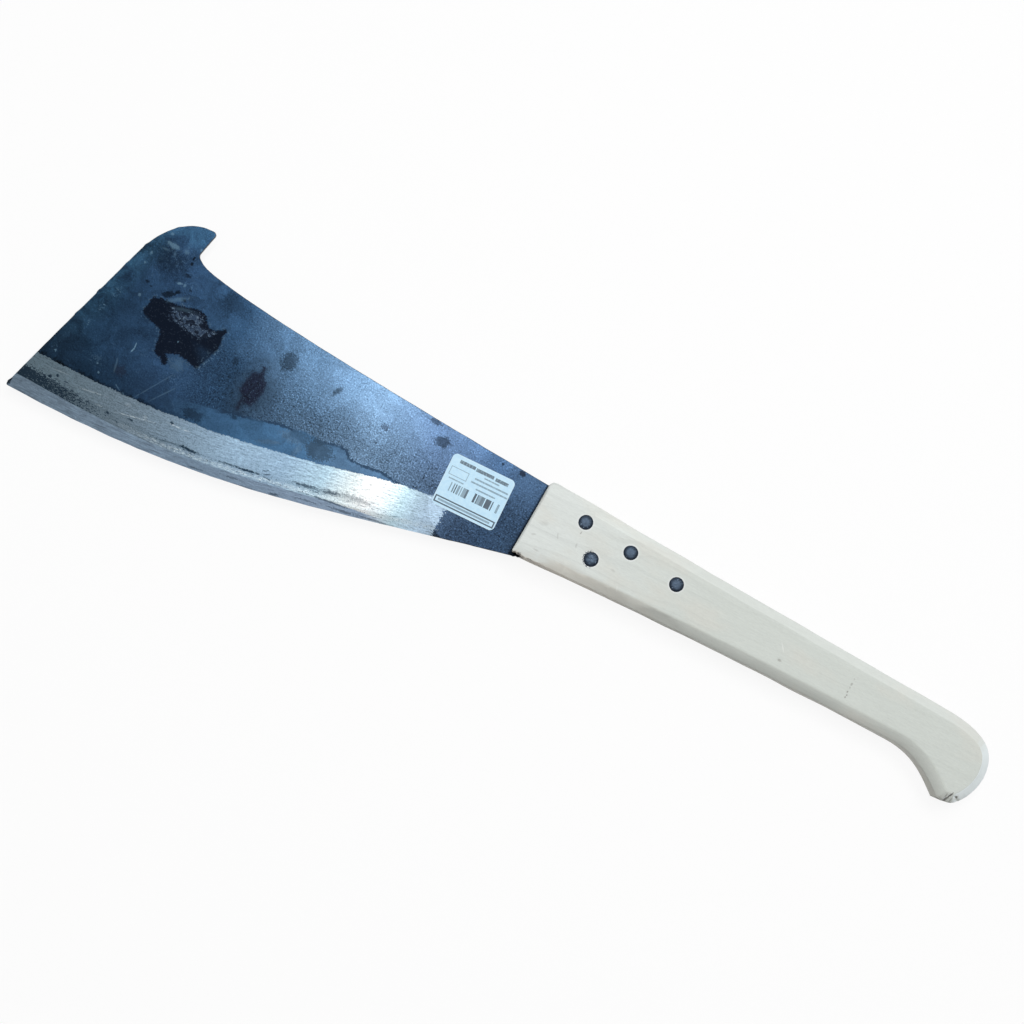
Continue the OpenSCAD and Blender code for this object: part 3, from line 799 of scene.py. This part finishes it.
# The handle: one piece of pale wood, chamfered by hand
handle = {
    "middle": 13.0,
    "top": 26.0,
    "kerfZone": 1.6,  # edges nearer the middle than this belong to the saw cut
    "edgeRound": 0.5,
    "roundedFrom": 28.0,  # degrees, above which an edge is rounded
    "smoothLimit": 32.0,  # degrees, above which an edge stays sharp
    # where the mesh is cut: axis, start, end, size
    "cuts": [
        (0, -149.5, -131, 0.9), (0, -131, 129, 4), (0, 129, 149.5, 0.8), (1, -34, -25, 0.8),
        (1, -25, -21, 0.9), (1, -21, 24, 4), (2, 16, 26, 1.2),
    ],
    "rivetClear": 4.9,  # edges nearer a rivet than this stay sharp
    "waver": 0.35,
    "waverLength": 21.0,
    "torn": "rivet_front_lower",  # the rivet whose hole is torn on one side
    "tornRing": (3.9, 4.4, 5.2),  # where the tear starts, is deepest and ends
    "front": (-140.0, -148.0),  # over which the end's skew grows
    "frontPush": 0.45,  # at the upper corner
    "tints": {
        "rear": (0.648, 0.686, 0.645), "front": (0.725, 0.765, 0.74), "warm": (0.7, 0.69, 0.63),
        "pore": (0.44, 0.42, 0.36), "endGrain": (0.5, 0.46, 0.37), "sideRear": (0.5, 0.5, 0.44),
        "sideFront": (0.5, 0.42, 0.32), "rim": (0.78, 0.81, 0.8), "butt": (0.85, 0.92, 0.93),
        "lowSideBrown": (0.6, 0.52, 0.42), "worn": (0.36, 0.3, 0.24), "speck": (0.24, 0.22, 0.2),
        "crackShade": (0.07, 0.06, 0.055), "scratch": (0.85, 0.87, 0.84),
        "bruise": (0.8, 0.83, 0.83), "splinter": (0.85, 0.88, 0.87),
        "splinterGap": (0.05, 0.065, 0.085),
    },
    # chips of the wood: place, reach along each axis, push
    "chips": [
        ((-147.2, -23.6, 14), (2, 2.2, 20), (0.1, 1.3, 0)),
        ((-144.4, -23.5, 16), (1.2, 1.8, 14), (0.2, 1, -0.2)),
        ((-138.8, -23, 18), (2.2, 1.2, 8), (0, 0.6, -0.2)),
        ((-133.2, -22.6, 20), (3, 1, 6), (0, 0.3, 0)),
        ((135.6, -28, 24.6), (0.8, 2.6, 2.2), (0.3, 0, -1.3)),
        ((134.6, -31.2, 22.6), (1, 1.8, 2.8), (0.2, 1.1, -1)),
        ((139.3, -27.3, 24), (1.4, 1.1, 2.2), (-0.5, 0.5, -1)),
        ((141.4, -28.6, 21.5), (1.6, 1.6, 2.6), (-0.9, 0.8, -0.2)),
        ((131.8, -32.4, 20), (1.6, 1.2, 2.6), (0, 0.7, -0.2)),
    ],
    # dark flaws on the upper side
    "specks": [
        (56.3, 1.3, 0.5, 0.9, 0.45), (56.3, -0.9, 0.4, 0.6, 0.3), (56.1, -3.7, 0.35, 0.6, 0.6),
        (56.6, -5.5, 0.35, 0.5, 0.6), (56.3, -7, 0.35, 0.5, 0.55), (56.4, 4.5, 0.4, 0.5, 0.25),
        (13.5, -6.1, 1, 0.6, 0.5, 0, 0.6), (-120.4, 4.3, 0.35, 1, 0.45, -8),
        (-141.2, -0.7, 2.2, 1, 0.18, 20, 0.9), (-131.3, -3.5, 0.4, 1.3, 0.25, 25, 0.6),
        (-119.4, -3.4, 0.5, 1.4, 0.25, 10, 0.6), (-144, -9.2, 1.2, 0.5, 0.25, 20, 0.7),
        (-138.4, -16.6, 1.6, 0.5, 0.3, 0, 0.8), (-94.3, -6, 1.2, 0.5, 0.15, 0, 0.8),
    ],
    # painted shade: black in the cracks at the knob's lower end, and under the front's chipped
    # lower corner
    "crackShades": [
        (135.4, -28.4, 0.45, 2.5, 0.85, -12), (134.6, -31.6, 0.7, 1.3, 0.8, -20),
        (139.4, -27.1, 0.8, 0.6, 0.8), (133.6, -29, 0.4, 1.2, 0.4, 10, 0.6),
        (131.6, -32.6, 1.6, 0.5, 0.5), (137.6, -30.4, 0.4, 1.6, 0.35, 5, 0.6),
        (-148.6, -23.9, 1.2, 1.2, 0.95, 0, 0.4), (-145.9, -23.6, 1.2, 1.5, 0.95, 0, 0.4),
        (-143.2, -23.8, 0.7, 0.9, 0.7, 0, 0.4),
    ],
    # painted shade in the nicks along the front's lower edge
    "nickShades": [
        (-138.8, -23.3, 1.8, 0.8, 0.8, 0, 0.4), (-132.4, -22.8, 2.2, 0.5, 0.5, 0, 0.4),
    ],
    "scratch": [(11.8, 1.2, 0.35, 2.6, 0.5, 38), (-87.5, -14.0, 0.4, 1.5, 0.3, 20)],
}


def makeHandle(setup):
    mesh = copyNode("handle")
    # where the upper chamfers end, along the handle
    top = setup["top"]
    ends = sorted({
        round(v.co.x / mm, 1): v.co.z / mm
        for v in mesh.verts
        if setup["middle"] + 1.5 < v.co.z / mm < top - 0.1
    }.items())
    rivetAxes = [Vector(place) for place in rivetPlaces.values()]

    def isWorked(e):
        if len(e.link_faces) != 2:
            return False
        middle = sum((v.co for v in e.verts), Vector()) / (2.0 * mm)
        if abs(middle.z - setup["middle"]) < setup["kerfZone"]:
            return False
        if any((middle.xy - axis).length < setup["rivetClear"] for axis in rivetAxes):
            return False
        return math.degrees(e.calc_face_angle()) > setup["roundedFrom"]

    bevelEdges(mesh, [e for e in mesh.edges if isWorked(e)], setup["edgeRound"], 3)
    for cut in setup["cuts"]:
        cutAcross(mesh, *cut)
    torn = Vector(rivetPlaces[setup["torn"]])
    inner, deepest, outer = setup["tornRing"]
    downChamfer = mesh.verts.layers.float.new("downChamfer")
    for v in mesh.verts:
        place = v.co / mm
        low = ends[0][1]
        for (x1, z1), (x2, z2) in zip(ends, ends[1:]):
            if x1 <= place.x <= x2:
                low = z1 + (z2 - z1) * (place.x - x1) / (x2 - x1)
        if place.x > ends[-1][0]:
            low = ends[-1][1]
        v[downChamfer] = min(1.0, max(0.0, (top - place.z) / (top - low)))
        edge = fade(abs(place.y + 1.0), 9.0, 13.0)  # the flat faces don't waver
        slow = Vector((place.x / setup["waverLength"], place.y / 40.0, place.z / 12.0))
        push = noise.noise_vector(slow) * setup["waver"] * edge
        push.z = 0.0
        slant = (frontEnd["corner"] - place.y) * frontEnd["slope"]
        push.x += (setup["frontPush"] - slant) * fade(place.x, *setup["front"])
        for centre, reach, chip in setup["chips"]:
            away = place - Vector(centre)
            near = Vector([away[k] / reach[k] for k in range(3)]).length
            if near < 1.0:
                ragged = 0.7 + 0.6 * noise.noise(place * 0.9)
                push += Vector(chip) * (1.0 - near * near) * ragged
        out = place.xy - torn
        if place.z > top - 0.5 and inner < out.length < outer:
            share = fade(-out.normalized().x, -0.1, 0.6) * fade(out.length, outer, deepest)
            ragged = 0.65 + 0.7 * noise.noise(Vector((out.x, out.y, 0.0)) * 1.1)
            push += Vector((out.x, out.y, -1.6)).normalized() * share * ragged
        v.co += push * mm
    shadeSmooth(mesh, setup["smoothLimit"], setup["smoothLimit"])
    storeFacing(mesh, setup["smoothLimit"])
    finishPiece(mesh, "handleWood", paleWood(setup), "handle_wood", "handle")


def paleWood(setup):
    wood = Finish("paleWood")
    tint = setup["tints"]
    step, blend, shade = wood.step, wood.blend, wood.shade
    point = wood.point()
    x, y, z = wood.axes(point)
    flat = wood.join(x, y, 0.0)

    # growth rings, cut so that they show as faint lines along the handle
    wander = wood.noise(wood.join(x * 0.011, y * 0.04, z * 0.04), 1.0, 2.0, 0.5)
    rings = (y + z * 0.5 - x * 0.075 + (wander - 0.5) * 22.0) / 5.2
    turn = rings.fract()
    spacing = wood.noise(wood.join(rings * 0.7, x * 0.006, 0.0), 1.0, 1.0, 0.5)
    late = step(turn, 0.45, 0.93) * step(turn, 1.0, 0.93)
    late = late * step(spacing, 0.42, 0.6)
    fibre = wood.noise(wood.join(x * 0.05, y, z), 1.1, 3.0, 0.65) - 0.5
    fine = wood.noise(wood.join(x * 0.3, y, z), 1.6, 2.0, 0.6) - 0.5
    pores = step(wood.noise(wood.join(x * 0.22, y, z), 2.1, 2.0, 0.7), 0.62, 0.72)
    cloud = wood.noise(wood.join(x * 0.5, y, z), 0.05, 3.0, 0.5)

    front = step(x + (cloud - 0.5) * 60.0, -30.0, -145.0)
    tone = blend(front, tint["rear"], tint["front"])
    tone = blend(step(cloud, 0.45, 0.65) * 0.45, tone, tint["warm"])
    tone = shade(tone, 1.0 - late * (0.03 + front * 0.035) + fibre * 0.13 + fine * 0.18)
    tone = blend(pores * 0.18, tone, tint["pore"])

    # cut across the grain the wood is darker, and its lower side is browner, most of all towards
    # the front
    nx, ny, nz = wood.axes(wood.attribute("facing", "Vector"))
    across = step(nx.size(), 0.75, 0.97)
    tone = blend(across * 0.35, tone, tint["endGrain"])
    sideways = step(nz.size(), 0.5, 0.2) * (1.0 - across)
    sideTone = blend(front, tint["sideRear"], tint["sideFront"])
    tone = blend(sideways * 0.35, tone, sideTone)
    lowSide = step(ny, -0.2, -0.5)
    # painted light: the chamfers that face the upper side and the butt are made lighter, the butt's
    # a bluish white
    litSide = step(ny.high(nx), 0.3, 0.6) * (1.0 - sideways)
    tone = shade(tone, 1.0 + litSide * 0.1)
    tone = blend(litSide * (1.0 - front) * 0.25, tone, tint["rim"])
    litButt = step(nx, 0.25, 0.6) * (1.0 - sideways)
    tone = blend(litButt, tone, tint["butt"])
    down = wood.attribute("downChamfer")  # painted light and shade: the lower chamfer is lighter at its top, more so at the front and rear, and darker towards its foot, as if it were a little rounded
    lift = front * 0.1 + step(x, 30.0, 70.0) * 0.07
    tone = shade(tone, 1.0 + lowSide * (0.08 + lift - down * (0.32 - front * 0.1)))
    tone = blend(lowSide * (0.06 + front * 0.36), tone, tint["lowSideBrown"])
    worn = lowSide * step(nz, 0.68, 0.4) * step(fibre, -0.1, 0.08)
    tone = blend(worn * (front * 0.3 + 0.15), tone, tint["worn"])

    wobble = fine * 1.2
    face = step(z, 16.0, 18.0)
    ragged = (wood.noise(point, 1.1, 3.0, 0.7) - 0.5) * 2.2
    speck = wood.blots(flat, wobble, setup["specks"]) * step(z, 25.0, 25.8)
    tone = blend(speck, tone, tint["speck"])
    # painted shade: black in the cracks and under the chipped corner, darker in the nicks
    crackShade = wood.blots(flat, ragged, setup["crackShades"]) * step(z, 1.0, 2.5)
    nickShade = wood.blots(flat, ragged, setup["nickShades"]) * step(z + ragged * 2.0, 19.0, 21.0)
    crackShade = crackShade.high(nickShade)
    tone = blend(crackShade, tone, tint["crackShade"])
    scratch = wood.blots(flat, wobble, setup["scratch"]) * face
    tone = blend(scratch, tone, tint["scratch"])

    # the wood is bruised pale round each rivet, and torn beside one
    away = None
    for place in rivetPlaces.values():
        one = wood.vector("DISTANCE", flat, (*place, 0.0), output="Value")
        away = one if away is None else away.low(one)
    bruise = step(away, 5.5, 4.6) * face
    tone = blend(bruise * 0.6, tone, tint["bruise"])
    tx, ty = rivetPlaces[setup["torn"]]
    tornAway = wood.vector("DISTANCE", flat, (tx, ty, 0.0), output="Value")
    leftSide = step(x + (y - ty) * 0.45, tx + 0.6, tx - 1.2)
    torn = step(tornAway + ragged * 0.8, 5.5, 4.9) * leftSide * face
    splinter = blend(step(ragged, -0.12, 0.04), tint["splinter"], tint["splinterGap"])
    tone = blend(torn, tone, splinter)

    relief = wood.bump(fibre * 0.6 + fine * 0.6 - late * 0.2, 0.06)
    relief = wood.bump(speck.high(crackShade) * -1.0, 0.3, 1.0, relief)
    return wood.set(
        Base_Color=tone,
        Roughness=0.6 + fine * 0.2 + across * 0.15,
        Specular_IOR_Level=0.3,
        Normal=relief,
    )


makeHandle(handle)

# The rivets: turned, then hammered over
rivets = {
    # the turned profile, radius and height, from the lower head to the dome
    "profile": [
        (0, 0.15), (2.2, 0.15), (4.1, 0.15), (4.25, 0.3), (4.25, 0.65), (2.5, 1.95), (2.5, 24.2),
        (4.25, 25.5), (4.25, 25.8), (4.12, 25.98), (3.85, 26.04), (3.5, 26.1), (3.1, 26.16),
        (2.7, 26.2), (2.2, 26.23), (1.7, 26.25), (1.1, 26.27), (0.5, 26.28), (0, 26.28),
    ],
    "turns": 48,
    "dentsAbove": 26.0,  # hammer marks lie on the dome
    "dentFloor": 25.95,  # and go no deeper than this
    "dents": 0.2,
    "dentSize": 1.5,
    "smoothLimit": 35.0,  # degrees, above which an edge stays sharp
    "tints": {
        "dark": (0.014, 0.021, 0.033), "worn": (0.06, 0.086, 0.125), "fleck": (0.16, 0.22, 0.3),
    },
}


def makeRivet(name, node, seed, setup, material):
    mesh = spinProfile(setup["profile"], setup["turns"])
    bmesh.ops.recalc_face_normals(mesh, faces=mesh.faces)
    fromAxis = mesh.verts.layers.float.new("fromAxis")
    for v in mesh.verts:
        v[fromAxis] = v.co.xy.length / mm
        if v.co.z > setup["dentsAbove"] * mm:
            spot = Vector((v.co.x, v.co.y, 0.0)) / (setup["dentSize"] * mm)
            dent = abs(noise.noise(spot + Vector((0.0, 0.0, seed * 7.3))))
            v.co.z = max(setup["dentFloor"] * mm, v.co.z - dent * setup["dents"] * mm)
    across, up = rivetPlaces[node]
    bmesh.ops.translate(mesh, verts=mesh.verts, vec=(across * mm, up * mm, 0.0))
    shadeSmooth(mesh, setup["smoothLimit"], setup["smoothLimit"])
    finishPiece(mesh, name, material, "rivet_steel", node)


def dullSteel(setup):
    steel = Finish("dullSteel")
    tint = setup["tints"]
    step, blend, shade = steel.step, steel.blend, steel.shade
    point = steel.point()
    away = steel.attribute("fromAxis")
    blotch = steel.noise(point, 0.55, 4.0, 0.6, 0.5)
    grit = steel.noise(point, 2.2, 3.0, 0.65)
    middle = step(away + (blotch - 0.5) * 3.0, 3.6, 1.4)
    tone = blend(middle, tint["dark"], tint["worn"])
    fleck = step(blotch + (grit - 0.5) * 0.4, 0.58, 0.7) * step(away, 3.9, 3.2)
    tone = blend(fleck * 0.7, tone, tint["fleck"])
    tone = shade(tone, 0.75 + grit * 0.5)
    return steel.set(
        Base_Color=tone,
        Metallic=0.6,
        Roughness=0.45 + (grit - 0.5) * 0.25,
        Specular_IOR_Level=0.1,
        Normal=steel.bump(grit + blotch, 0.06),
    )


rivetSteel = dullSteel(rivets)
for number, (name, node) in enumerate(rivetNodes.items()):
    makeRivet(name, node, number + 1, rivets, rivetSteel)

# The label: white film printed with plain grey rules and bars. Its print is laid out in
# millimetres from its middle, u towards the handle and v towards the spine.
label = {
    "centre": middleOf("label"),
    "turn": 2.3,
    "half": (19.7, 16.0),
    # plain rules: middle, half sizes, strength
    "rules": [
        ((-9.6, 12.6), (4.9, 1), 0.85), ((1.6, 12.3), (5.6, 1), 0.85), ((12.4, 12), (4, 1), 0.85),
        ((7, 9.7), (4.8, 0.4), 0.6), ((8, 7.3), (10.6, 0.5), 0.6), ((7.6, 4.8), (11.6, 0.5), 0.6),
        ((6.6, 1.9), (6.2, 0.45), 0.6), ((-11.9, 1.5), (4.7, 0.4), 0.55),
    ],
    "bars": ((1.7, -3.0), (15.6, 2.75)),
    "barModule": 0.66,
    "barStretch": 1.9,  # length of the darker and paler stretches of bars
    "barGap": (1.3, 0.7, 0.9),  # left of their middle, and its half width inside and outside
    "frame": ((0.0, -12.45), (18.9, 2.1)),
    "frameLine": 0.8,
    "frameRule": ((-0.4, -12.4), (16.4, 0.6)),
    "box": ((-12.2, 5.9), (5.6, 2.6)),
    "boxLine": 0.4,
    "tints": {
        "film": (0.5, 0.76, 0.95), "filmLight": (0.57, 0.82, 0.98), "print": (0.01, 0.032, 0.062),
        "rim": (0.75, 0.85, 0.9),
    },
}


def labelFilm(setup):
    film = Finish("labelFilm")
    tint = setup["tints"]
    local = film.node(
        "ShaderNodeMapping",
        {"vector_type": "TEXTURE"},
        {
            "Vector": film.point(),
            "Location": (*setup["centre"], 0.0),
            "Rotation": (0.0, 0.0, math.radians(setup["turn"])),
        },
    )
    u, v, _ = film.axes(local)

    def panel(middle, half, soft=0.12):
        apart = ((u - middle[0]).size() - half[0]).high((v - middle[1]).size() - half[1])
        return film.step(apart, soft, -soft)

    mottle = film.noise(local, 0.5, 3.0, 0.6)
    ink = film.noise(local, 1.7, 2.0, 0.6)
    tone = film.blend(film.step(mottle, 0.35, 0.65), tint["film"], tint["filmLight"])
    printed = None
    for middle, half, strength in setup["rules"]:
        broken = film.step(film.noise(film.join(u, v * 0.3, 0.0), 1.1, 2.0, 0.6), 0.3, 0.55)
        one = panel(middle, half) * (broken * 0.35 + 0.65) * strength
        printed = one if printed is None else printed.high(one)
    # bars of random widths, with a gap in the middle and pale stretches
    count = (u / setup["barModule"]).floor()
    chance = film.node("ShaderNodeTexWhiteNoise", {"noise_dimensions": "1D"}, {"W": count})
    stretch = (u / setup["barStretch"]).floor()
    stretchChance = film.node(
        "ShaderNodeTexWhiteNoise", {"noise_dimensions": "1D"}, {"W": stretch + 31.0}
    )
    bars = film.step(chance, 0.36, 0.38) * (film.step(stretchChance, 0.2, 0.6) * 0.4 + 0.6)
    middle, half = setup["bars"]
    left, inside, outside = setup["barGap"]
    gap = film.step((u - middle[0] + left).size(), inside, outside)
    printed = printed.high(panel(middle, half) * bars * gap * 0.95)
    # the framed strip along the bottom, and a plain box
    middle, half = setup["frame"]
    outer = panel(middle, half)
    inner = panel(middle, [size - setup["frameLine"] for size in half])
    printed = printed.high((outer - inner) * 0.95)
    printed = printed.high(panel(*setup["frameRule"]) * (0.35 + ink * 0.4))
    middle, half = setup["box"]
    rim = panel(middle, half) - panel(middle, [size - setup["boxLine"] for size in half])
    printed = printed.high(rim * 0.55)
    tone = film.blend(printed, tone, tint["print"])
    wide, high = setup["half"]
    edge = film.step((u.size() - wide).high(v.size() - high), -0.7, 0.0)
    tone = film.blend(edge * 0.35, tone, tint["rim"])
    return film.set(
        Base_Color=tone,
        Roughness=0.42 + (mottle - 0.5) * 0.15,
        Specular_IOR_Level=0.4,
        Normal=film.bump(mottle, 0.08),
    )


filmMaterial = labelFilm(label)
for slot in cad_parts["label"].material_slots:
    slot.material = filmMaterial
print("label finished")

studio = {
    # the paper's profile, as distance and height: a floor that curves up all round
    "paper": [
        (0, 0), (2000, 0), (4400, 0), (4630, 50), (4820, 180), (4950, 370), (5000, 600),
        (5000, 1800), (5000, 3000),
    ],
    "paperTurns": 96,
    "paperDrop": 0.1,  # it lies this far under the part
    "paperWhite": 0.9,  # how much of it shows plain white
    "world": 0.35,
    "lamps": [
        # name, place, size, watts, aim
        ("sheenLamp", (-383.0, 196.0, 1500.0), (160.0, 160.0), 4.0, (-250.0, 25.0, 13.0)),
        ("keyLamp", (20.0, 560.0, 1400.0), (900.0, 500.0), 11.0, (-100.0, 0.0, 13.0)),
    ],
}


def makeFloor(setup):
    profile = [(away, height - setup["paperDrop"]) for away, height in setup["paper"]]
    mesh = spinProfile(profile, setup["paperTurns"])
    for f in mesh.faces:
        f.smooth = True
    data = bpy.data.meshes.new("floor")
    mesh.to_mesh(data)
    mesh.free()
    floor = bpy.data.objects.new("floor", data)
    bpy.context.scene.collection.objects.link(floor)
    paper = Finish("floorPaper")
    paper.set(Base_Color=(0.93, 0.93, 0.93), Roughness=0.9, Specular_IOR_Level=0.1)
    # white to the camera and in reflections, with enough of the lit paper left for the shadow
    seen = [paper.node("ShaderNodeLightPath", {}, {}, name) for name in
            ("Is Camera Ray", "Is Glossy Ray", "Is Transmission Ray")]
    glow = paper.node("ShaderNodeEmission", {}, {"Color": (1.0, 1.0, 1.0), "Strength": 1.0})
    mixed = paper.node(
        "ShaderNodeMixShader",
        {},
        {
            0: seen[0].high(seen[1]).high(seen[2]) * setup["paperWhite"],
            1: Wire(paper, paper.shader.outputs[0]),
            2: glow,
        },
    )
    paper.feed(paper.tree.nodes["Material Output"].inputs["Surface"], mixed)
    floor.data.materials.append(paper.material)


def makeLight(setup):
    world = bpy.data.worlds.new("studio")
    bpy.context.scene.world = world
    world.use_nodes = True
    sky = world.node_tree.nodes["Background"]
    sky.inputs["Color"].default_value = (1.0, 1.0, 1.0, 1.0)
    sky.inputs["Strength"].default_value = setup["world"]
    for name, place, size, watts, aim in setup["lamps"]:
        data = bpy.data.lights.new(name, "AREA")
        data.shape = "RECTANGLE"
        data.size = size[0] * mm
        data.size_y = size[1] * mm
        data.energy = watts
        lamp = bpy.data.objects.new(name, data)
        lamp.location = Vector(place) * mm
        direction = Vector(aim) - Vector(place)
        lamp.rotation_euler = direction.to_track_quat("-Z", "Y").to_euler()
        bpy.context.scene.collection.objects.link(lamp)
    bpy.context.scene.view_settings.view_transform = "Standard"


makeFloor(studio)
makeLight(studio)
print("studio set")
